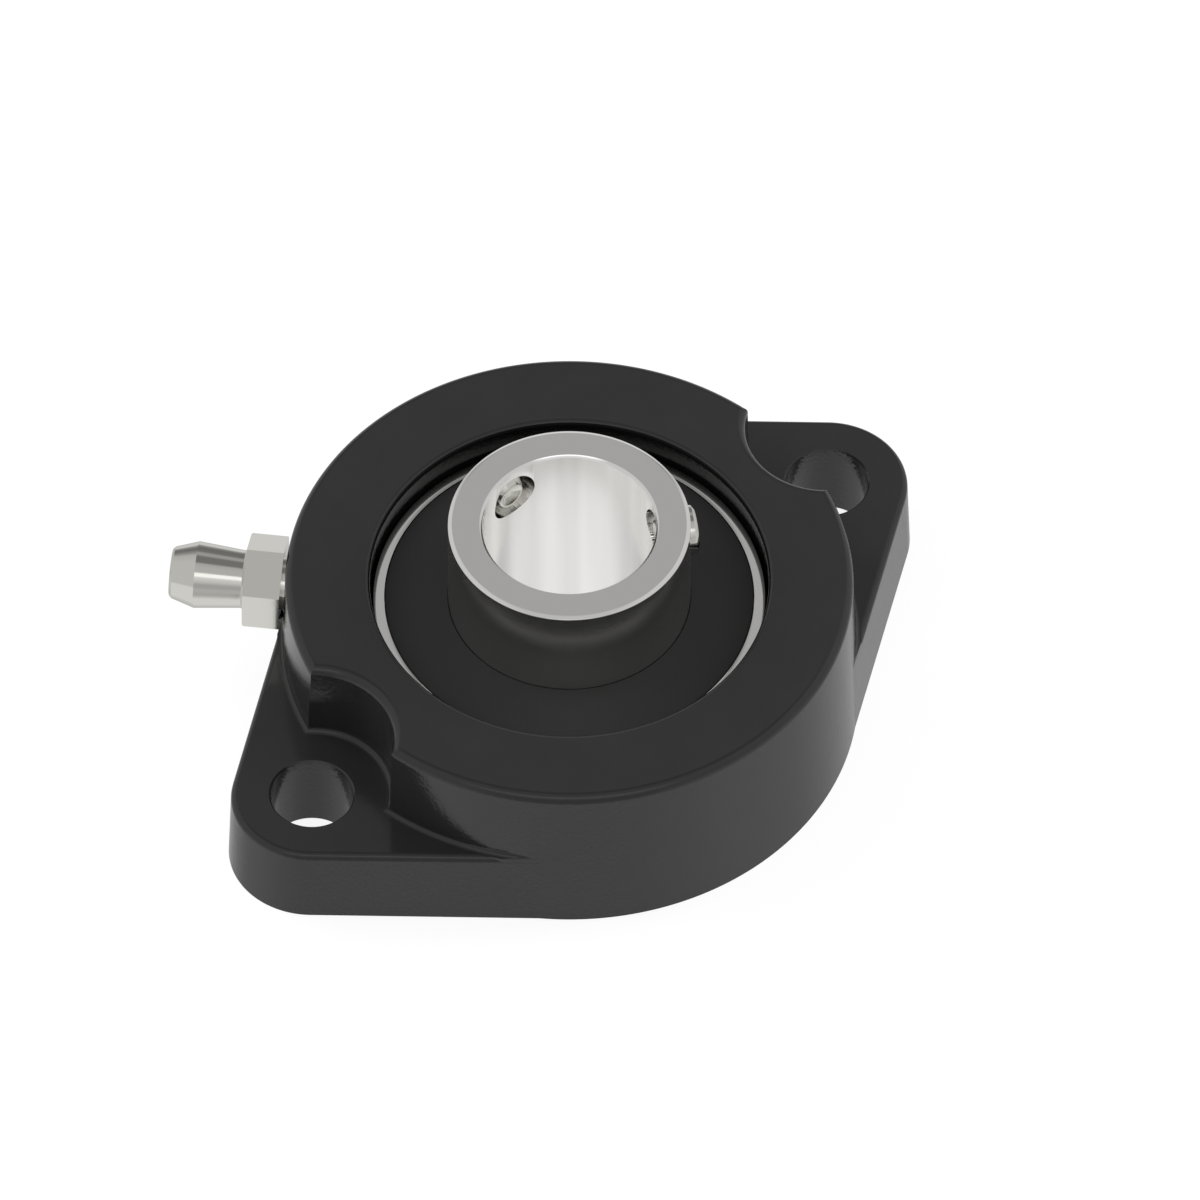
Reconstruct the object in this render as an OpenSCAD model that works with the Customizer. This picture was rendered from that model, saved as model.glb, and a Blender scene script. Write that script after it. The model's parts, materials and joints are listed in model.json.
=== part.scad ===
// Two-bolt flanged bearing unit: a cast housing with a spherical seat, and a ball
// bearing insert that tilts in it. The mounting face lies on z = 0, the shaft runs
// along +Z and the two bolts stand on the X axis.

/* [Housing] */
// Distance between the two mounting bolts
bolt_spacing = 63.5; // [60:0.5:80]
// Diameter of each mounting bolt hole
bolt_hole_d = 8.1; // [6.6:0.1:9.5]
// Thickness of the flange
flange_t = 8.8; // [7:0.1:10]
// Radius of the flange round each bolt, at the mounting face
flange_end_r = 8.1; // [7.5:0.1:9.5]
// Height of the boss above the mounting face
boss_h = 18.05; // [17.5:0.05:20]
// Radius of the boss at the mounting face
boss_foot_r = 28.15; // [27:0.05:30]
// Draft of the cast sides, in degrees
cast_draft = 1.5; // [0.5:0.5:3]
// Rounding of the flange's edge and of the foot of the bolt-head recesses
cast_round = 0.7; // [0.3:0.1:1]
// Rounding of the top edges of the boss
boss_round = 0.95; // [0.3:0.05:1.2]
// Radius cleared in the boss round each bolt head
bolt_head_r = 7.95; // [7.8:0.05:9.5]
// Clearance between the front and rear openings and the rim of the outer ring
opening_gap = 0.36; // [0.1:0.02:0.5]
// Rounding of the front and rear openings
opening_round = 0.6; // [0.2:0.1:1]
// Height of the centre of the spherical seat above the mounting face
seat_h = 9.15; // [8.5:0.05:10]
// Clearance between the spherical seat and the outer ring
seat_gap = 0.03; // [0.02:0.01:0.08]
// Extra width and radius of the slots through which the insert is put in
slot_gap = 0.3; // [0.2:0.05:0.5]

/* [Bearing insert] */
// Diameter of the shaft bore
bore_d = 17; // [16:0.5:18]
// Depth of the inner ring's raceway below the outside of the ring
inner_race_depth = 0.95; // [0.8:0.025:1.2]
// Length of the inner ring in front of the ball centres
inner_front_l = 17.25; // [16:0.05:19]
// Length of the inner ring behind the ball centres
inner_rear_l = 6.15; // [5.8:0.05:7]
// Diameter of the spherical outside of the outer ring
outer_ring_d = 40; // [39.9:0.05:40.1]
// Width of the outer ring
outer_ring_w = 12; // [11.8:0.1:12.6]
// Depth of the outer ring's raceway
outer_race_depth = 1.175; // [0.9:0.025:1.3]
// Width of the outer ring's rim round each seal
outer_rim_w = 1.1; // [0.9:0.05:1.3]
// Height of the outer ring's oil groove above the ball centres
oil_h = 3.85; // [3:0.05:4]
// Diameter of the balls
ball_d = 6.75; // [6.35:0.05:6.9]
// Number of balls
ball_count = 8; // [7:1:8]
// Clearance between a ball and each raceway
ball_play = 0.01; // [0.005:0.005:0.03]
// Raceway groove radius as a multiple of the ball radius
race_open = 1.03; // [1.02:0.005:1.06]
// Chamfer of the shaft bore
bore_chamfer = 0.25; // [0.1:0.05:0.5]
// Width of the chamfer on the outside edges of the inner ring
ring_chamfer_w = 0.38; // [0.2:0.02:0.7]
// Height of the chamfer on the outside edges of the inner ring
ring_chamfer_h = 0.2; // [0.1:0.02:0.7]

/* [Cage] */
// Thickness of the cage sheet
cage_sheet = 0.7; // [0.5:0.05:0.8]
// Width of the cage band, measured along a radius
cage_band_w = 2.1; // [1.8:0.1:2.6]
// Clearance between a ball and its pocket
pocket_gap = 0.08; // [0.04:0.01:0.12]
// Diameter of the rivet shanks
rivet_d = 1.1; // [0.9:0.05:1.2]
// Diameter of the rivet heads
rivet_head_d = 1.9; // [1.6:0.1:2]
// Height of the rivet heads
rivet_head_h = 0.4; // [0.3:0.05:0.5]

/* [Seals] */
// Clearance between the cage and each seal
seal_clear = 0.4; // [0.3:0.05:0.5]
// Depth of the snap groove that holds the seal's bead
seal_bead = 0.3; // [0.2:0.05:0.35]
// Thickness of the seal's steel plate
seal_plate_t = 0.5; // [0.3:0.05:0.6]
// Height of the seal's lip above the face of the outer ring
lip_rise = 0.35; // [0.1:0.05:0.5]
// Clearance between the seal's lip and the inner ring
lip_gap = 0.05; // [0.03:0.01:0.1]

/* [Set screws] */
// Nominal thread diameter of the set screws
screw_d = 5; // [4:0.5:5]
// Length of the set screws
screw_l = 4; // [4:0.5:6]
// Distance from the front end of the inner ring to the screw axes
screw_inset = 3.6; // [3.4:0.1:5]
// Length of the screws' cone
screw_cone_l = 1.6; // [1:0.1:2]
// Diameter of the rim of the cup point
cup_d = 2.8; // [2:0.1:3.2]
// Direction of the first set screw round the shaft, in degrees
screw_1_angle = 93; // [0:1:359]
// Angle from the second set screw to the first, in degrees
screw_spread = 120; // [60:1:180]
// Clearance of a screw in its hole, and between its tip and the shaft
screw_gap = 0.05; // [0.03:0.01:0.1]
// Width across flats of the screw's socket
socket_af = 2.5; // [2:0.5:2.5]

/* [Grease nipple] */
// Direction of the nipple round the shaft, in degrees
nipple_angle = 135; // [120:1:150]
// Height of the nipple above the mounting face
nipple_h = 13; // [12.7:0.1:13.2]
// Diameter of the nipple's thread
nipple_thread_d = 6; // [5:0.5:6.5]
// Length of the nipple's thread
nipple_thread_l = 4.9; // [4:0.1:5.2]
// Width across flats of the nipple's hexagon
nipple_af = 8; // [7:0.1:8.5]
// Thickness of the nipple's hexagon
nipple_hex_t = 3.65; // [3:0.05:4.5]
// Distance the nipple stands out from its hexagon's seat
nipple_reach = 11.05; // [10:0.05:12]
// Diameter of the nipple's head at its widest
nipple_head_d = 6.55; // [6.2:0.05:6.8]
// Gap between the boss and the nipple's hexagon
nipple_stand_off = 0.2; // [0.1:0.05:0.6]

/* [Hidden] */
$fn = 96;
eps = 0.01;
// How far a cutting shape goes past the surface that it cuts
over = 1;

// The casting
bolt_x = bolt_spacing / 2;
bolt_chamfer = 0.15;
flange_sink = 0.1;

// The rings, measured from the ball centres, which circle midway between bore and outside
bore_r = bore_d / 2;
outer_r = outer_ring_d / 2;
half_w = outer_ring_w / 2;
ball_r = ball_d / 2;
pitch_r = (bore_r + outer_r) / 2;
inner_r = pitch_r - ball_r + inner_race_depth;
shoulder_r = pitch_r + ball_r - outer_race_depth;
rim_r = sqrt(outer_r * outer_r - half_w * half_w);
race_r = race_open * ball_r;
race_shift = race_r - ball_r - ball_play;

// The seat of the insert in the casting
seat_r = outer_r + seat_gap;
slot_w = outer_ring_w + 2 * slot_gap;
opening_r = rim_r + opening_gap;

// The oil way from the nipple through the housing and the outer ring
oil_hole_d = 1.2;
oil_seat_r = sqrt(seat_r * seat_r - oil_h * oil_h);
oil_groove_w = 1.4;
oil_groove_depth = 0.4;
oil_channel_d = 1.6;

// The cage
pocket_r = ball_r + pocket_gap;
cage_in_r = pitch_r - cage_band_w / 2;
cage_out_r = pitch_r + cage_band_w / 2;
rivet_gap = 0.02;

// The seals, measured from the ball centres
seal_seat = ball_r + pocket_gap + cage_sheet + seal_clear;
seal_r = rim_r - outer_rim_w;
seal_wall_r = seal_r + lip_gap;
seal_fit = 0.02;
groove_lo = seal_seat + 0.05;
groove_hi = seal_seat + 0.55 * (half_w - seal_seat);
groove_slope = 0.1;
bead_play = 0.05;
plate_lift = 0.2;
plate_lo = seal_seat + plate_lift;
plate_hi = plate_lo + seal_plate_t;
plate_edge_w = 0.65;
plate_out_r = seal_r - plate_edge_w;
plate_hole_w = 1;
plate_in_r = inner_r + plate_hole_w;
lip_r = inner_r + lip_gap;
lip_root_w = 0.3;
lip_crown_w = 0.35;
lip_slope = 0.15;

// The set screws
screw_r = screw_d / 2;
screw_z = seat_h + inner_front_l - screw_inset;
screw_tip_r = bore_r + screw_gap;
screw_2_angle = screw_1_angle - screw_spread;
cup_r = cup_d / 2;
cup_rim = 0.2;
cup_depth = 0.7;
socket_depth = 2;
screw_end_chamfer = 0.3;

// The nipple, measured outwards from its hexagon's seat
nipple_seat_r = boss_foot_r - nipple_h * tan(cast_draft) + nipple_stand_off;
nipple_thread_r = nipple_thread_d / 2;
nipple_thread_gap = 0.02;
nipple_hole_r = nipple_seat_r - nipple_thread_l - nipple_stand_off;
oil_run = nipple_hole_r - oil_seat_r;
oil_rise = nipple_h - seat_h - oil_h;
nipple_head_r = nipple_head_d / 2;
nipple_neck_r = nipple_head_r - 0.425;
nipple_tip_r = nipple_head_r - 0.72;
nipple_neck_s = nipple_hex_t + 0.57;
nipple_widest_s = nipple_reach - 2.5;
nipple_tip_round = 0.25;
nipple_undercut = 0.5;
nipple_undercut_depth = 0.4;
nipple_thread_end = 0.5;
nipple_fillet = 0.3;
nipple_hex_flat = 0.15;
inlet_r = 0.6;
chamber_r = 1.3;
chamber_end_r = 0.9;
crimp_l = 0.5;
inlet_l = 1;
valve_s = nipple_reach - inlet_l;
check_ball_r = 1.1;
valve_gap = 0.02;
check_ball_s = valve_s + inlet_r - (check_ball_r + valve_gap) * sqrt(2);
wire_r = 0.15;
coil_r = chamber_r - wire_r - 0.15;
coil_top_s = check_ball_s - sqrt(pow(check_ball_r + wire_r + valve_gap, 2) - coil_r * coil_r);
coil_foot_s = crimp_l - nipple_thread_l + wire_r + valve_gap;
coil_turns = 9;
coil_steps = 14;
wire_sides = 8;

BALLS = [for (i = [1 : ball_count]) str("ball_", i)];

// Points along an arc, from angle a to angle b
function arc(x, y, r, a, b, steps = 6) =
    [for (k = [0 : steps]) let (t = a + (b - a) * k / steps) [x + r * cos(t), y + r * sin(t)]];

// Half section of a drafted drum with a rounded top edge
function drum_section(foot_r, h, edge) =
    let (top_r = foot_r - h * tan(cast_draft))
    let (x = top_r - edge * (1 - sin(cast_draft)) / cos(cast_draft))
    concat([[0, 0], [foot_r, 0]], arc(x, h - edge, edge, cast_draft, 90), [[0, h]]);

module at_bolts() {
    for (side = [-1, 1])
        translate([side * bolt_x, 0, 0])
            children();
}

// Places a shape that was drawn along +Z so that it points away from the shaft
module outwards(angle, height, distance = 0) {
    rotate([0, 0, angle])
        translate([distance, 0, height])
            rotate([0, 90, 0])
                children();
}

module at_seat() {
    translate([0, 0, seat_h])
        children();
}

module each_ball() {
    for (i = [0 : ball_count - 1])
        rotate([0, 0, i * 360 / ball_count])
            translate([pitch_r, 0, 0])
                children();
}

module each_rivet() {
    for (i = [0 : ball_count - 1])
        rotate([0, 0, (i + 0.5) * 360 / ball_count])
            translate([pitch_r, 0, 0])
                children();
}

// The flange: two drafted ends joined by straight sides to a core inside the boss
module flange() {
    hull() {
        at_bolts()
            rotate_extrude($fn = 48)
                polygon(drum_section(flange_end_r, flange_t, cast_round));
        rotate_extrude()
            polygon(drum_section(boss_foot_r - flange_sink, flange_t, cast_round));
    }
}

// Room for a bolt head and a spanner, with a rounded foot and a rounded top edge
module bolt_head_cut() {
    low_r = bolt_head_r - cast_round;
    high_r = bolt_head_r + boss_round;
    rotate_extrude()
        polygon(concat(
            [[0, flange_t - over / 2], [low_r, flange_t - over / 2]],
            arc(low_r, flange_t + cast_round, cast_round, -90, 0),
            arc(high_r, boss_h - boss_round, boss_round, 180, 90),
            [[high_r, boss_h + over], [0, boss_h + over]]
        ));
}

module boss() {
    difference() {
        rotate_extrude()
            polygon(drum_section(boss_foot_r, boss_h, boss_round));
        at_bolts()
            bolt_head_cut();
    }
}

// The front and rear openings on each side of the spherical seat
module opening_cut() {
    wide_r = opening_r + opening_round;
    rotate_extrude()
        polygon(concat(
            [[0, -over], [wide_r, -over]],
            arc(wide_r, opening_round, opening_round, 270, 180),
            arc(wide_r, boss_h - opening_round, opening_round, 180, 90),
            [[wide_r, boss_h + over], [0, boss_h + over]]
        ));
}

// Two slots at the rear, where the insert goes in edge first before it is turned flat
module loading_slots() {
    intersection() {
        translate([0, 0, -over])
            cylinder(r = seat_r + slot_gap, h = seat_h + over);
        translate([-slot_w / 2, -seat_r - over, -2 * over])
            cube([slot_w, 2 * seat_r + 2 * over, seat_h + 3 * over]);
    }
}

module bolt_hole() {
    translate([0, 0, -over])
        cylinder(d = bolt_hole_d, h = flange_t + 2 * over);
    translate([0, 0, flange_t - bolt_chamfer])
        cylinder(r1 = bolt_hole_d / 2, r2 = bolt_hole_d / 2 + bolt_chamfer + over, h = bolt_chamfer + over);
}

// The threaded hole of the nipple, and the drilled way from it to the seat
module nipple_hole() {
    outwards(nipple_angle, nipple_h, nipple_hole_r)
        cylinder(r = nipple_thread_r, h = boss_foot_r - nipple_hole_r + over);
    rotate([0, 0, nipple_angle])
        translate([oil_seat_r, 0, seat_h + oil_h])
            rotate([0, atan2(oil_run, oil_rise), 0])
                translate([0, 0, -over])
                    cylinder(d = oil_channel_d, h = norm([oil_run, oil_rise]) + 1.5 * over);
}

module housing() {
    color("#3d3d3b")
        difference() {
            union() {
                flange();
                boss();
            }
            opening_cut();
            at_seat()
                sphere(r = seat_r);
            loading_slots();
            at_bolts()
                bolt_hole();
            nipple_hole();
        }
}

// Half section of the space that a seal takes out of the outer ring, above the balls
module seal_space() {
    polygon([
        [0, seal_seat],
        [seal_wall_r, seal_seat],
        [seal_wall_r, groove_lo],
        [seal_wall_r + seal_bead, groove_lo + groove_slope],
        [seal_wall_r + seal_bead, groove_hi - 2 * groove_slope],
        [seal_wall_r, groove_hi],
        [seal_wall_r, half_w + over],
        [0, half_w + over]
    ]);
}

module outer_ring() {
    color("silver")
        at_seat()
            difference() {
                intersection() {
                    sphere(r = outer_r);
                    rotate_extrude()
                        difference() {
                            translate([shoulder_r, -half_w])
                                square([outer_r - shoulder_r + over, outer_ring_w]);
                            translate([pitch_r - race_shift, 0])
                                circle(r = race_r);
                            seal_space();
                            mirror([0, 1])
                                seal_space();
                        }
                }
                translate([0, 0, oil_h - oil_groove_w / 2])
                    rotate_extrude()
                        translate([sqrt(outer_r * outer_r - oil_h * oil_h) - oil_groove_depth, 0])
                            square([outer_r, oil_groove_w]);
                for (turn = [0, 180])
                    outwards(nipple_angle + turn, oil_h, shoulder_r - over)
                        cylinder(d = oil_hole_d, h = outer_r - shoulder_r + 2 * over);
            }
}

module inner_ring() {
    color("gainsboro")
        difference() {
            at_seat()
                rotate_extrude()
                    difference() {
                        polygon([
                            [bore_r + bore_chamfer, -inner_rear_l],
                            [inner_r - ring_chamfer_w, -inner_rear_l],
                            [inner_r, ring_chamfer_h - inner_rear_l],
                            [inner_r, inner_front_l - ring_chamfer_h],
                            [inner_r - ring_chamfer_w, inner_front_l],
                            [bore_r + bore_chamfer, inner_front_l],
                            [bore_r, inner_front_l - bore_chamfer],
                            [bore_r, bore_chamfer - inner_rear_l]
                        ]);
                        translate([pitch_r + race_shift, 0])
                            circle(r = race_r);
                    }
            for (angle = [screw_1_angle, screw_2_angle])
                outwards(angle, screw_z, bore_r - 2 * over)
                    cylinder(r = screw_r + screw_gap, h = inner_r - bore_r + 4 * over);
        }
}

// One pressed half of the cage: flat webs between half-round pockets
module cage_half() {
    difference() {
        intersection() {
            union() {
                cylinder(r = cage_out_r + over, h = cage_sheet);
                each_ball()
                    sphere(r = pocket_r + cage_sheet);
            }
            difference() {
                cylinder(r = cage_out_r, h = pocket_r + cage_sheet + over);
                translate([0, 0, -over])
                    cylinder(r = cage_in_r, h = pocket_r + cage_sheet + 3 * over);
            }
        }
        each_ball()
            sphere(r = pocket_r);
        each_rivet()
            cylinder(d = rivet_d + 2 * rivet_gap, h = 3 * cage_sheet, center = true);
    }
}

module cage_front() {
    color("darkkhaki")
        at_seat()
            cage_half();
}

module cage_rear() {
    color("darkkhaki")
        at_seat()
            mirror([0, 0, 1])
                cage_half();
}

// A rivet through both cage halves, with a low cone head on each side
module rivet() {
    for (side = [0, 1])
        mirror([0, 0, side]) {
            cylinder(d = rivet_d, h = cage_sheet + eps);
            translate([0, 0, cage_sheet])
                cylinder(d1 = rivet_head_d, d2 = rivet_d, h = rivet_head_h);
        }
}

module cage_rivets() {
    color("silver")
        at_seat()
            each_rivet()
                rivet();
}

module ball(index) {
    color("lightsteelblue")
        at_seat()
            rotate([0, 0, (index - 1) * 360 / ball_count])
                translate([pitch_r, 0, 0])
                    sphere(r = ball_r);
}

module seal_plate() {
    rotate_extrude()
        translate([plate_in_r, plate_lo])
            square([plate_out_r - plate_in_r, seal_plate_t]);
}

// The rubber round the plate: a bead in the snap groove, a smooth face and a lip
module seal_rubber() {
    rotate_extrude()
        polygon([
            [plate_out_r, seal_seat + seal_fit],
            [seal_r, seal_seat + seal_fit],
            [seal_r + seal_bead, groove_lo + groove_slope + bead_play],
            [seal_r + seal_bead, groove_hi - 2 * groove_slope - bead_play],
            [seal_r, groove_hi - bead_play],
            [seal_r, half_w],
            [lip_r + lip_crown_w, half_w + lip_rise],
            [lip_r, half_w + lip_rise - lip_slope],
            [lip_r + lip_slope, half_w - lip_root_w],
            [plate_in_r - lip_root_w, plate_hi - plate_lift],
            [plate_in_r - lip_root_w, plate_lo],
            [plate_in_r, plate_lo],
            [plate_in_r, plate_hi],
            [plate_out_r, plate_hi]
        ]);
}

module front_seal_plate() {
    color("lightgrey")
        at_seat()
            seal_plate();
}

module front_seal_lip() {
    color("#2b2b2b")
        at_seat()
            seal_rubber();
}

module rear_seal_plate() {
    color("lightgrey")
        at_seat()
            mirror([0, 0, 1])
                seal_plate();
}

module rear_seal_lip() {
    color("#2b2b2b")
        at_seat()
            mirror([0, 0, 1])
                seal_rubber();
}

// A set screw with a cup point and a hexagon socket, backed out clear of the shaft
module set_screw(angle) {
    color("silver")
        outwards(angle, screw_z, screw_tip_r)
            difference() {
                rotate_extrude()
                    polygon([
                        [0, cup_depth],
                        [cup_r - cup_rim, 0],
                        [cup_r, 0],
                        [screw_r, screw_cone_l],
                        [screw_r, screw_l - screw_end_chamfer],
                        [screw_r - screw_end_chamfer, screw_l],
                        [0, screw_l]
                    ]);
                translate([0, 0, screw_l - socket_depth])
                    cylinder(d = socket_af / cos(30), h = socket_depth + over, $fn = 6);
            }
}

module nipple_hexagon() {
    top_r = nipple_af / 2 + nipple_hex_flat;
    corner_r = nipple_af / 2 / cos(30);
    intersection() {
        cylinder(r = corner_r, h = nipple_hex_t, $fn = 6);
        rotate_extrude()
            polygon([
                [0, 0],
                [corner_r + over, 0],
                [corner_r + over, nipple_hex_t - (corner_r + over - top_r) * tan(30)],
                [top_r, nipple_hex_t],
                [0, nipple_hex_t]
            ]);
    }
}

module nipple_body() {
    color("gainsboro")
        outwards(nipple_angle, nipple_h, nipple_seat_r)
            difference() {
                union() {
                    nipple_hexagon();
                    rotate_extrude()
                        polygon([
                            [0, -nipple_thread_l],
                            [nipple_thread_r - nipple_thread_end, -nipple_thread_l],
                            [nipple_thread_r - nipple_thread_gap, nipple_thread_end - nipple_thread_l],
                            [nipple_thread_r - nipple_thread_gap, -nipple_undercut - nipple_undercut_depth],
                            [nipple_thread_r - nipple_undercut_depth, -nipple_undercut],
                            [nipple_thread_r - nipple_undercut_depth, eps],
                            [nipple_neck_r + nipple_fillet, nipple_hex_t - eps],
                            [nipple_neck_r, nipple_neck_s - nipple_fillet],
                            [nipple_neck_r, nipple_neck_s],
                            [nipple_head_r, nipple_widest_s],
                            [nipple_tip_r, nipple_reach - nipple_tip_round],
                            [nipple_tip_r - nipple_tip_round, nipple_reach],
                            [0, nipple_reach]
                        ]);
                }
                rotate_extrude()
                    polygon([
                        [0, -nipple_thread_l - over],
                        [chamber_end_r, -nipple_thread_l - over],
                        [chamber_end_r, crimp_l - nipple_thread_l],
                        [chamber_r, crimp_l - nipple_thread_l],
                        [chamber_r, valve_s + inlet_r - chamber_r],
                        [inlet_r, valve_s],
                        [inlet_r, nipple_reach + over],
                        [0, nipple_reach + over]
                    ]);
            }
}

module nipple_ball() {
    color("silver")
        outwards(nipple_angle, nipple_h, nipple_seat_r + check_ball_s)
            sphere(r = check_ball_r);
}

// A coil spring: rings of points along a helix, joined ring to ring and capped
module coil_spring(r, wire, low, high, turns) {
    last = turns * coil_steps;
    rings = [for (k = [0 : last]) let (t = 360 * k / coil_steps) [
        for (j = [0 : wire_sides - 1]) let (u = 360 * j / wire_sides)
            [(r + wire * cos(u)) * cos(t), (r + wire * cos(u)) * sin(t), low + (high - low) * k / last + wire * sin(u)]
    ]];
    skin = [for (k = [0 : last - 1], j = [0 : wire_sides - 1]) [
        k * wire_sides + j,
        (k + 1) * wire_sides + j,
        (k + 1) * wire_sides + (j + 1) % wire_sides,
        k * wire_sides + (j + 1) % wire_sides
    ]];
    start_cap = [for (j = [0 : wire_sides - 1]) j];
    end_cap = [for (j = [wire_sides - 1 : -1 : 0]) last * wire_sides + j];
    polyhedron([for (ring = rings, p = ring) p], concat([start_cap], skin, [end_cap]), convexity = 10);
}

module nipple_spring() {
    color("silver")
        outwards(nipple_angle, nipple_h, nipple_seat_r)
            coil_spring(coil_r, wire_r, coil_foot_s, coil_top_s, coil_turns);
}

housing();
outer_ring();
inner_ring();
cage_front();
cage_rear();
cage_rivets();
for (i = [1 : ball_count]) ball(i);
front_seal_plate();
front_seal_lip();
rear_seal_plate();
rear_seal_lip();
set_screw(screw_1_angle);  // set_screw_1
set_screw(screw_2_angle);  // set_screw_2
nipple_body();
nipple_ball();
nipple_spring();
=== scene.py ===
"""Two-bolt flanged bearing unit: modelled surfaces, finishes and a plain studio."""

import json
import math

import bpy
from bpy.props import FloatProperty, FloatVectorProperty, PointerProperty, StringProperty
from mathutils import Matrix, Vector


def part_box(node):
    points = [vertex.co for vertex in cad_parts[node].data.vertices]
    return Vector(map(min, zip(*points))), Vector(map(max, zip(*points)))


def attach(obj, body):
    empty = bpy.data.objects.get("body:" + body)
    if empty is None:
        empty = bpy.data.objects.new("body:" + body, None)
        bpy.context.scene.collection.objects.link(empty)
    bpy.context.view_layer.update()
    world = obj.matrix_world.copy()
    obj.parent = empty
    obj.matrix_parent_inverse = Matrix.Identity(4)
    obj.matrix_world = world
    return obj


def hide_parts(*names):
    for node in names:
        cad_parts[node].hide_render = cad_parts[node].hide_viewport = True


bl_info = {
    "name": "Flanged bearing unit",
    "version": (1, 0, 0),
    "blender": (4, 5, 0),
    "location": "View3D > Sidebar > Bearing unit",
    "description": "Models the pieces of a two-bolt flanged bearing unit round its packed frame",
    "category": "Object",
}

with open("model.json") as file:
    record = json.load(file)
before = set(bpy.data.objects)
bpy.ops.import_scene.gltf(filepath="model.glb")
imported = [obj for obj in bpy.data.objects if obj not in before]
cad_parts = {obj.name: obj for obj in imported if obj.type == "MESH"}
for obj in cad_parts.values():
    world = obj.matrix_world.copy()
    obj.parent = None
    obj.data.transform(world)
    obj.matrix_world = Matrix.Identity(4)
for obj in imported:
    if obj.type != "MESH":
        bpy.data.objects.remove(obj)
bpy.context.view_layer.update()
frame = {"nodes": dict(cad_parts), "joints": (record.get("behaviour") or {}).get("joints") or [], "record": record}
MM = 0.001
FULL_TURN = 2 * math.pi
# Points nearer to each other than this are merged
HAIR = 0.000001
# How far a cutting tool reaches past what it cuts
PAST = 1 * MM

MOUNTS = {mount["name"]: mount for mount in frame["record"]["mounts"]}
JOINTS = {joint["name"]: joint for joint in frame["joints"]}
SEAT_HEIGHT = JOINTS["alignment"]["pos_m"][2]
SCREW_JOINTS = {"set_screw_1": "set_screw_1_feed", "set_screw_2": "set_screw_2_feed"}
BALLS = [name for name in frame["nodes"] if name.startswith("ball_")]

# Shapes that get joined: how far they start inside the flange, how far the foot fillet
# reaches into the boss, and the boss's hollow before its opening is cut
SINK = 0.5 * MM
FOOT_DEPTH = 2 * MM
BOSS_HOLLOW_R = 10 * MM
# Room that the loading slots leave round the insert
SLOT_GAP = 0.3 * MM
# The nipple's hole: its radius, and where it starts inside the seat's wall
NIPPLE_HOLE_R = 3 * MM
NIPPLE_HOLE_START = 22.7 * MM
# Gap between a ball and the bottom of each raceway
BALL_GAP = 0.01 * MM
# The oil groove of the outer ring: heights of its edges above the ball centres, and its depth
OIL_LOW, OIL_HIGH, OIL_DEPTH = 3.15 * MM, 4.55 * MM, 0.4 * MM
# Gaps of a seal: on its seat and at its lip, and to the wall round it
SEAL_GAP = 0.02 * MM
SEAL_WALL_GAP = 0.05 * MM
# The steel plate in a seal: distances from the inner ring, the seal's edge and its seat
PLATE_IN, PLATE_OUT, PLATE_LOW, PLATE_T = 1 * MM, 0.65 * MM, 0.2 * MM, 0.5 * MM

# Light that shiny surfaces see over the unit, from the camera's side (0) to the far side (1),
# as shares of the brightest panel
PANEL_LIGHT = 1.33
PANELS = ((0, 0.36), (0.09, 0.35), (0.155, 0.52), (0.225, 0.62), (0.238, 0.68), (0.25, 1),
          (0.31, 1), (0.325, 0.42), (0.41, 0.43), (0.5, 0.38), (0.525, 0.16), (0.655, 0.16),
          (0.69, 0.32), (0.745, 0.32), (0.78, 0.16), (0.9, 0.14), (0.96, 0.25), (1, 0.42))
# Light that they see in the floor, from rays that leave the camera (0) to rays that
# return to it (1)
FLOOR_LIGHT = ((0, 0.8), (0.075, 0.6), (0.425, 0.6), (0.65, 0.85), (0.875, 0.85),
               (0.96, 0.5), (1, 0.55))
# Light that they see beyond the panels' ends and along the horizon, and that matt surfaces get
SIDE_LIGHT = 0.65
HORIZON_LIGHT = 0.55
MATT_LIGHT = 0.55
# The floor: its radius, its distance under the unit, its white in the picture, and the share
# of that white which a shadow can't darken
FLOOR_R = 4
FLOOR_DROP = 0.02 * MM
FLOOR_WHITE = 1.05
FLOOR_GLOW = 0.86
# The point that the lamps look at, and the name, place, size and power of each
LAMP_AIM = Vector((0, 0, 0.01))
LAMPS = (("key_lamp", (-0.35, 0.45, 0.6), 0.5, 4), ("side_lamp", (0.6, -0.15, 0.45), 0.4, 3))


def length(name, description, default):
    """A size in metres that a user may change."""
    return FloatProperty(name=name, description=description, default=default,
                         unit="LENGTH", precision=6)


def colour(name, description, default):
    """An sRGB colour written as six hexadecimal digits."""
    return StringProperty(name=name, description=description, default=default, maxlen=7)


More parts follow.
